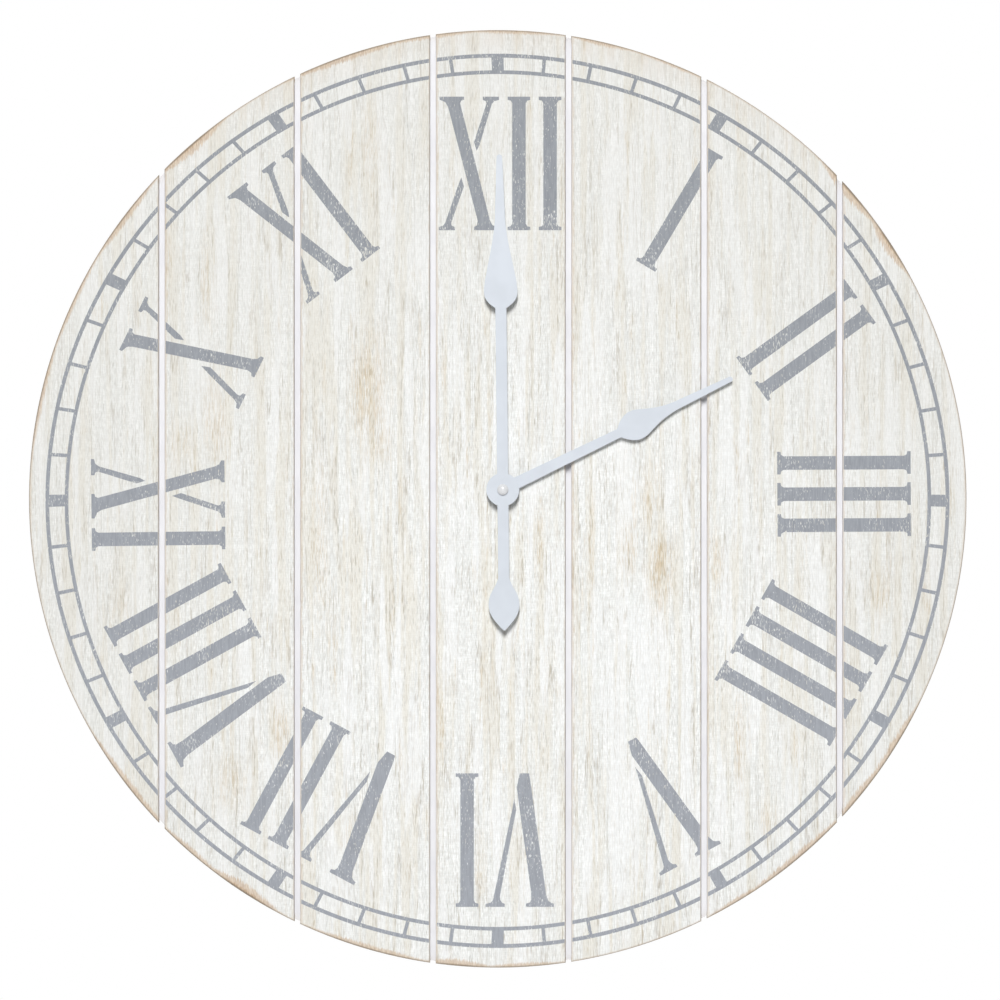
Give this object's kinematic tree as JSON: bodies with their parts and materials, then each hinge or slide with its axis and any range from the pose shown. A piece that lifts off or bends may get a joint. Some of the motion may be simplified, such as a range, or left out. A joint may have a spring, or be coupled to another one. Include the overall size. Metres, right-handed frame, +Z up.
{
  "type": "plank wall clock",
  "caption": "Large round whitewashed plank wall clock: Roman dial on vertical planks, spade hands, battery quartz movement, keyhole hanger.",
  "frame": {"origin": "centre of the keyhole hanger's round entry, on the wall plane behind the battens", "axes": "+X to the viewer's right, +Y into the wall, +Z up; the viewer looks along +Y"},
  "size_m": [0.762, 0.048, 0.762],
  "materials": {
    "whitewashed_wood": "whitewashed planks with brown worn edges",
    "white_board": "matt white painted fibreboard",
    "bare_pine": "bare planed pine",
    "zinc_steel": "zinc plated steel",
    "black_plastic": "fine textured black plastic",
    "white_plastic": "natural acetal",
    "brass": "turned brass",
    "rubber": "black rubber",
    "magnet": "sintered magnet",
    "stator_iron": "soft iron sheet",
    "copper_wire": "enamelled copper wire",
    "circuit": "phenolic circuit board",
    "chip_resin": "black resin",
    "crystal_can": "tinned metal can",
    "contact_steel": "nickel plated spring steel",
    "cell_jacket": "plain film on a steel can",
    "cell_metal": "nickel plated steel",
    "hand_paint": "satin pale blue-white paint on aluminium",
    "nut_enamel": "glossy white enamel on metal"
  },
  "bodies": {
    "root": {"plank_1": "whitewashed_wood", "plank_2": "whitewashed_wood", "plank_3": "whitewashed_wood", "plank_4": "whitewashed_wood", "plank_5": "whitewashed_wood", "plank_6": "whitewashed_wood", "plank_7": "whitewashed_wood", "backing_board": "white_board", "upper_batten": "bare_pine", "lower_batten": "bare_pine", "plank_screws": "zinc_steel", "batten_screws": "zinc_steel", "hanger_screws": "zinc_steel", "keyhole_hanger": "zinc_steel", "washer": "zinc_steel", "bridge_screws": "zinc_steel", "stator_screws": "zinc_steel", "movement_housing": "black_plastic", "movement_back_cover": "black_plastic", "train_bridge": "white_plastic", "coil_bobbin": "white_plastic", "threaded_bushing": "brass", "hex_nut": "brass", "rubber_gasket": "rubber", "stator": "stator_iron", "coil_core": "stator_iron", "coil_winding": "copper_wire", "circuit_board": "circuit", "ic_chip": "chip_resin", "quartz_crystal": "crystal_can", "battery_contact_negative": "contact_steel", "battery_contact_positive": "contact_steel"},
    "minute": {"minute_arbor": "white_plastic", "centre_wheel": "white_plastic", "minute_hand_bush": "brass", "minute_hand": "hand_paint", "cap_nut": "nut_enamel"},
    "hour": {"hour_wheel": "white_plastic", "hour_hand_bush": "brass", "hour_hand": "hand_paint"},
    "minute_wheel_body": {"minute_wheel": "white_plastic"},
    "setting": {"setting_arbor": "white_plastic", "setting_knob": "black_plastic"},
    "third": {"third_wheel": "white_plastic"},
    "fourth": {"fourth_wheel": "white_plastic"},
    "fifth": {"fifth_wheel": "white_plastic"},
    "rotor": {"rotor_pinion": "white_plastic", "rotor_magnet": "magnet"},
    "battery": {"battery_cell": "cell_jacket", "battery_cap": "cell_metal"}
  },
  "joints": [
    {"name": "minute_hand_turn", "type": "hinge", "parent": "root", "child": "minute", "pos_m": [0.0041, -0.019, -0.1725], "axis": [0, 1, 0], "continuous": true},
    {"name": "hour_hand_turn", "type": "hinge", "parent": "root", "child": "hour", "pos_m": [0.0041, -0.019, -0.1725], "axis": [0, 1, 0], "continuous": true},
    {"name": "minute_wheel_turn", "type": "hinge", "parent": "root", "child": "minute_wheel_body", "pos_m": [0.01389, -0.019, -0.16794], "axis": [0, 1, 0], "continuous": true},
    {"name": "setting_knob_turn", "type": "hinge", "parent": "root", "child": "setting", "pos_m": [0.01758, -0.019, -0.15779], "axis": [0, 1, 0], "continuous": true},
    {"name": "third_wheel_turn", "type": "hinge", "parent": "root", "child": "third", "pos_m": [-0.00569, -0.019, -0.16794], "axis": [0, 1, 0], "continuous": true},
    {"name": "fourth_wheel_turn", "type": "hinge", "parent": "root", "child": "fourth", "pos_m": [0.0041, -0.019, -0.1725], "axis": [0, 1, 0], "continuous": true},
    {"name": "fifth_wheel_turn", "type": "hinge", "parent": "root", "child": "fifth", "pos_m": [0.00372, -0.019, -0.16171], "axis": [0, 1, 0], "continuous": true},
    {"name": "rotor_turn", "type": "hinge", "parent": "root", "child": "rotor", "pos_m": [-0.0019, -0.019, -0.155], "axis": [0, 1, 0], "continuous": true},
    {"name": "battery_slide", "type": "slide", "parent": "root", "child": "battery", "axis": [0, 1, 0], "range_m": [0, 0.03]}
  ],
  "couplings": [
    {"joint": "hour_hand_turn", "follows": "minute_hand_turn", "ratio": 0.083333},
    {"joint": "minute_wheel_turn", "follows": "minute_hand_turn", "ratio": -0.33333},
    {"joint": "setting_knob_turn", "follows": "minute_hand_turn", "ratio": 1},
    {"joint": "third_wheel_turn", "follows": "minute_hand_turn", "ratio": -7.5},
    {"joint": "fourth_wheel_turn", "follows": "minute_hand_turn", "ratio": 60},
    {"joint": "fifth_wheel_turn", "follows": "minute_hand_turn", "ratio": -300},
    {"joint": "rotor_turn", "follows": "minute_hand_turn", "ratio": 1800}
  ]
}
